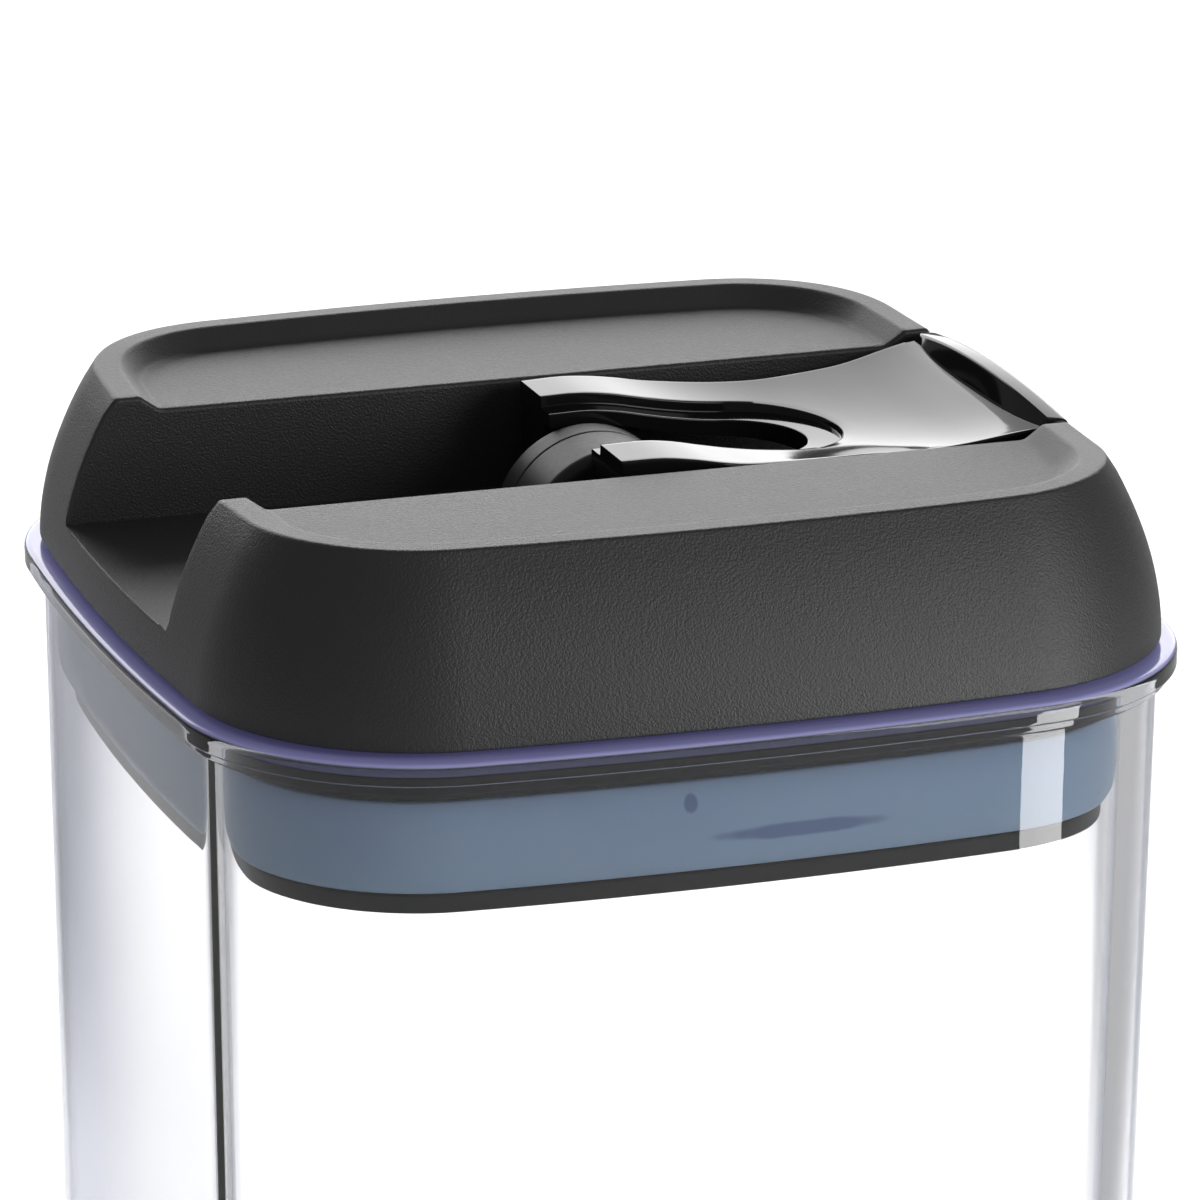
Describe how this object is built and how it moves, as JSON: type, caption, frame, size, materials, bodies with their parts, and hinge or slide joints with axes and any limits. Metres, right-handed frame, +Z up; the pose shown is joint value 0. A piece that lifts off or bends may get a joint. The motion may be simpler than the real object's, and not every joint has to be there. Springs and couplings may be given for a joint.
{
  "type": "storage canister",
  "caption": "Tall rounded-square clear canister whose black lid seals by a flip lever that squeezes a silicone ring against the wall.",
  "frame": {"origin": "centre of the canister's base, on the surface that it stands on", "axes": "+Z up along the canister, +X towards the free end of the lever"},
  "size_m": [0.112, 0.112, 0.1559],
  "materials": {
    "clear_plastic": "clear, polished, faint blue edge tint",
    "textured_black": "fine spark-eroded grain",
    "gloss_black": "polished",
    "dark_plastic": "satin",
    "post_plastic": "satin acetal",
    "silicone": "satin silicone",
    "steel": "plain"
  },
  "bodies": {
    "canister": {"canister_body": "clear_plastic"},
    "lid": {"lid_cover": "textured_black", "lid_base": "dark_plastic", "base_screw_front_left": "steel", "base_screw_front_right": "steel", "base_screw_back_left": "steel", "base_screw_back_right": "steel"},
    "plunger": {"silicone_gasket": "silicone", "pressure_plate": "dark_plastic", "plate_screw_left": "steel", "plate_screw_right": "steel", "screw_cap": "dark_plastic", "pull_post": "post_plastic", "post_cheek": "post_plastic", "axle_pin": "steel"},
    "lever": {"lever": "gloss_black"}
  },
  "joints": [
    {"name": "lid_lift", "type": "slide", "parent": "canister", "child": "lid", "axis": [0, 0, 1], "range_m": [0, 0.06]},
    {"name": "post_travel", "type": "slide", "parent": "lid", "child": "plunger", "axis": [0, 0, 1], "range_m": [-0.0025, 0], "deforming": ["silicone_gasket"]},
    {"name": "lever_flip", "type": "hinge", "parent": "plunger", "child": "lever", "pos_m": [0.0013, 0, 0.147], "axis": [0, -1, 0], "range_deg": [0, 90]}
  ],
  "couplings": [
    {"joint": "post_travel", "follows": "lever_flip", "m_per_rad": -0.0015915}
  ]
}
